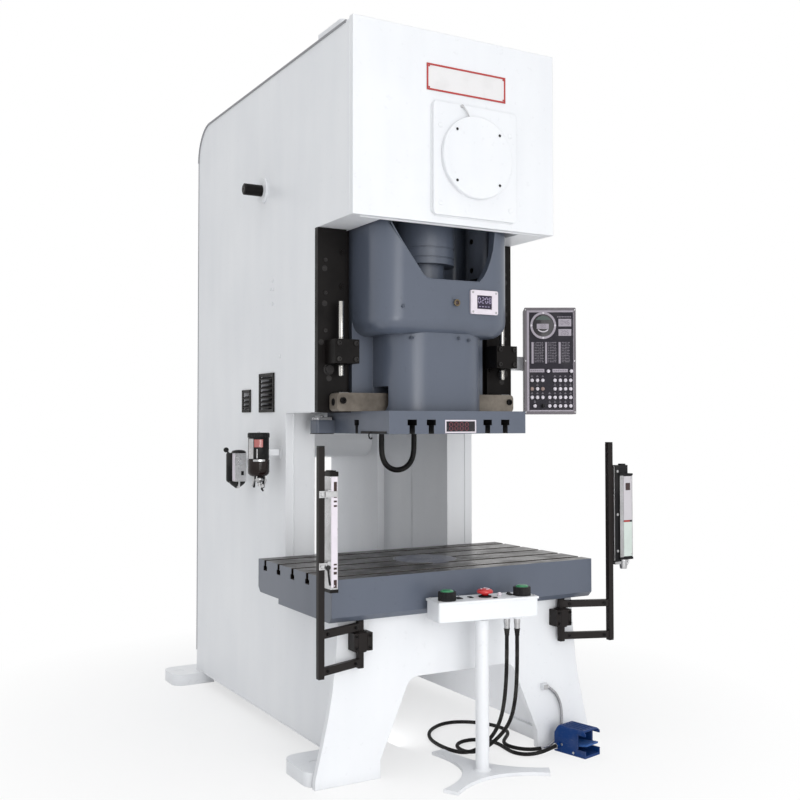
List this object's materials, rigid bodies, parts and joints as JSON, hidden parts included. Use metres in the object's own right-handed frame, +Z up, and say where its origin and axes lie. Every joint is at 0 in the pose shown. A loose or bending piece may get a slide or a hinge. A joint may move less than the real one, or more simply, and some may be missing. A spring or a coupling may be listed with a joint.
{
  "type": "mechanical stamping press",
  "caption": "C-frame mechanical stamping press with crank-driven slide, slotted bolster, side light guards, swivel panel, two-hand console and foot pedal.",
  "frame": {"origin": "centre of the four anchor holes in the feet, at floor level", "axes": "+Z up, +X to the right seen from the operator's side, +Y from the front to the rear"},
  "size_m": [1.523, 2.3451, 3.077],
  "materials": {
    "frame_paint": "semi-gloss",
    "slide_paint": "satin",
    "dark_steel": "satin",
    "bare_steel": "machined",
    "worn_steel": "bare, slightly rusted",
    "chrome_rod": "polished",
    "cast_iron": "machined casting",
    "black_plastic": "moulded",
    "white_bezel": "moulded",
    "silver": "anodised",
    "panel_paint": "satin",
    "green_button": "moulded",
    "red_button": "moulded",
    "blue_guard": "powder coat",
    "cable_rubber": "matte",
    "conduit_metal": "braided",
    "hose_rubber": "matte"
  },
  "bodies": {
    "frame": {"frame_side_left": "frame_paint", "frame_side_right": "frame_paint", "head_front_plate": "frame_paint", "head_bottom_plate": "frame_paint", "top_plate": "frame_paint", "cross_plate": "frame_paint", "rear_cross_plate": "frame_paint", "rear_plate": "frame_paint", "bed_front_plate": "frame_paint", "bed_top_plate": "frame_paint", "column_left": "frame_paint", "column_right": "frame_paint", "oil_pan": "frame_paint", "head_pad": "frame_paint", "round_cover": "frame_paint", "console_box": "frame_paint", "console_stand": "frame_paint", "panel_arm": "frame_paint", "gib_left": "dark_steel", "gib_right": "dark_steel", "knockout_bracket_left": "dark_steel", "knockout_bracket_right": "dark_steel", "guard_block_left": "dark_steel", "guard_block_right": "dark_steel", "frame_bolts": "dark_steel", "knockout_rod_left": "chrome_rod", "knockout_rod_right": "chrome_rod", "lifting_bar": "bare_steel", "bolster_disc": "bare_steel", "bolster": "slide_paint", "drive_motor": "slide_paint", "vent_grille_large": "black_plastic", "vent_grille_small": "black_plastic", "filter_unit": "black_plastic", "lubricator_unit": "black_plastic", "pedal_housing": "blue_guard", "pedal_cable": "cable_rubber", "console_cable": "cable_rubber", "drive_belts": "cable_rubber", "conduit": "conduit_metal"},
    "crank": {"crankshaft": "cast_iron", "main_gear": "cast_iron"},
    "rod": {"con_rod": "cast_iron"},
    "slide": {"slide_body": "slide_paint", "slide_plate": "slide_paint", "slide_display": "white_bezel", "slide_hose": "hose_rubber"},
    "knockout": {"knockout_bar": "worn_steel"},
    "pinion": {"pinion_shaft": "bare_steel"},
    "flywheel": {"flywheel": "cast_iron"},
    "motor_rotor": {"motor_pulley": "bare_steel"},
    "gate_left": {"guard_gate_left": "dark_steel", "curtain_unit_left": "silver"},
    "gate_right": {"guard_gate_right": "dark_steel", "curtain_unit_right": "silver"},
    "panel": {"control_panel": "panel_paint"},
    "palm_left": {"palm_button_left": "green_button"},
    "palm_right": {"palm_button_right": "green_button"},
    "stop": {"stop_button": "red_button"},
    "treadle": {"pedal_treadle": "black_plastic"}
  },
  "joints": [
    {"name": "crank_turn", "type": "hinge", "parent": "frame", "child": "crank", "pos_m": [0, -0.728, 2.53], "axis": [0, 1, 0], "range_deg": [0, 180]},
    {"name": "slide_travel", "type": "slide", "parent": "frame", "child": "slide", "axis": [0, 0, -1], "range_m": [0, 0.2]},
    {"name": "con_rod_swing", "type": "hinge", "parent": "crank", "child": "rod", "pos_m": [0, -0.728, 2.63], "axis": [0, 1, 0], "range_deg": [-180, 0]},
    {"name": "pinion_spin", "type": "hinge", "parent": "frame", "child": "pinion", "pos_m": [0, -0.215, 2.005], "axis": [0, 1, 0], "range_deg": [-720, 0]},
    {"name": "flywheel_spin", "type": "hinge", "parent": "frame", "child": "flywheel", "pos_m": [0, 0.39, 2.005], "axis": [0, 1, 0], "continuous": true},
    {"name": "motor_spin", "type": "hinge", "parent": "frame", "child": "motor_rotor", "pos_m": [0, 0.385, 2.72], "axis": [0, 1, 0], "continuous": true},
    {"name": "knockout_lift", "type": "slide", "parent": "slide", "child": "knockout", "axis": [0, 0, 1], "range_m": [0, 0.025]},
    {"name": "gate_left_swing", "type": "hinge", "parent": "frame", "child": "gate_left", "pos_m": [-0.493, -1.065, 0.54], "axis": [0, 0, 1], "range_deg": [-22, 55]},
    {"name": "gate_right_swing", "type": "hinge", "parent": "frame", "child": "gate_right", "pos_m": [0.493, -1.065, 0.54], "axis": [0, 0, 1], "range_deg": [-55, 22]},
    {"name": "panel_swivel", "type": "hinge", "parent": "frame", "child": "panel", "pos_m": [0.73995, -0.63292, 1.69], "axis": [0, 0, 1], "range_deg": [-8, 60]},
    {"name": "palm_left_press", "type": "slide", "parent": "frame", "child": "palm_left", "axis": [0, 0, -1], "range_m": [0, 0.006], "stiffness_N_per_m": 2500, "springref_m": -0.004},
    {"name": "palm_right_press", "type": "slide", "parent": "frame", "child": "palm_right", "axis": [0, 0, -1], "range_m": [0, 0.006], "stiffness_N_per_m": 2500, "springref_m": -0.004},
    {"name": "stop_press", "type": "slide", "parent": "frame", "child": "stop", "axis": [0, 0, -1], "range_m": [0, 0.006], "stiffness_N_per_m": 3000, "springref_m": -0.004},
    {"name": "treadle_press", "type": "hinge", "parent": "frame", "child": "treadle", "pos_m": [0.48255, -1.13008, 0.034], "axis": [0.9744, 0.225, 0], "range_deg": [0, 8], "stiffness_Nm_per_rad": 12, "springref_deg": -6.88}
  ],
  "couplings": [
    {"joint": "slide_travel", "follows": "crank_turn", "m_per_rad": 0.06366},
    {"joint": "con_rod_swing", "follows": "crank_turn", "ratio": -1},
    {"joint": "pinion_spin", "follows": "crank_turn", "ratio": -4},
    {"joint": "motor_spin", "follows": "flywheel_spin", "ratio": 4.4444}
  ]
}
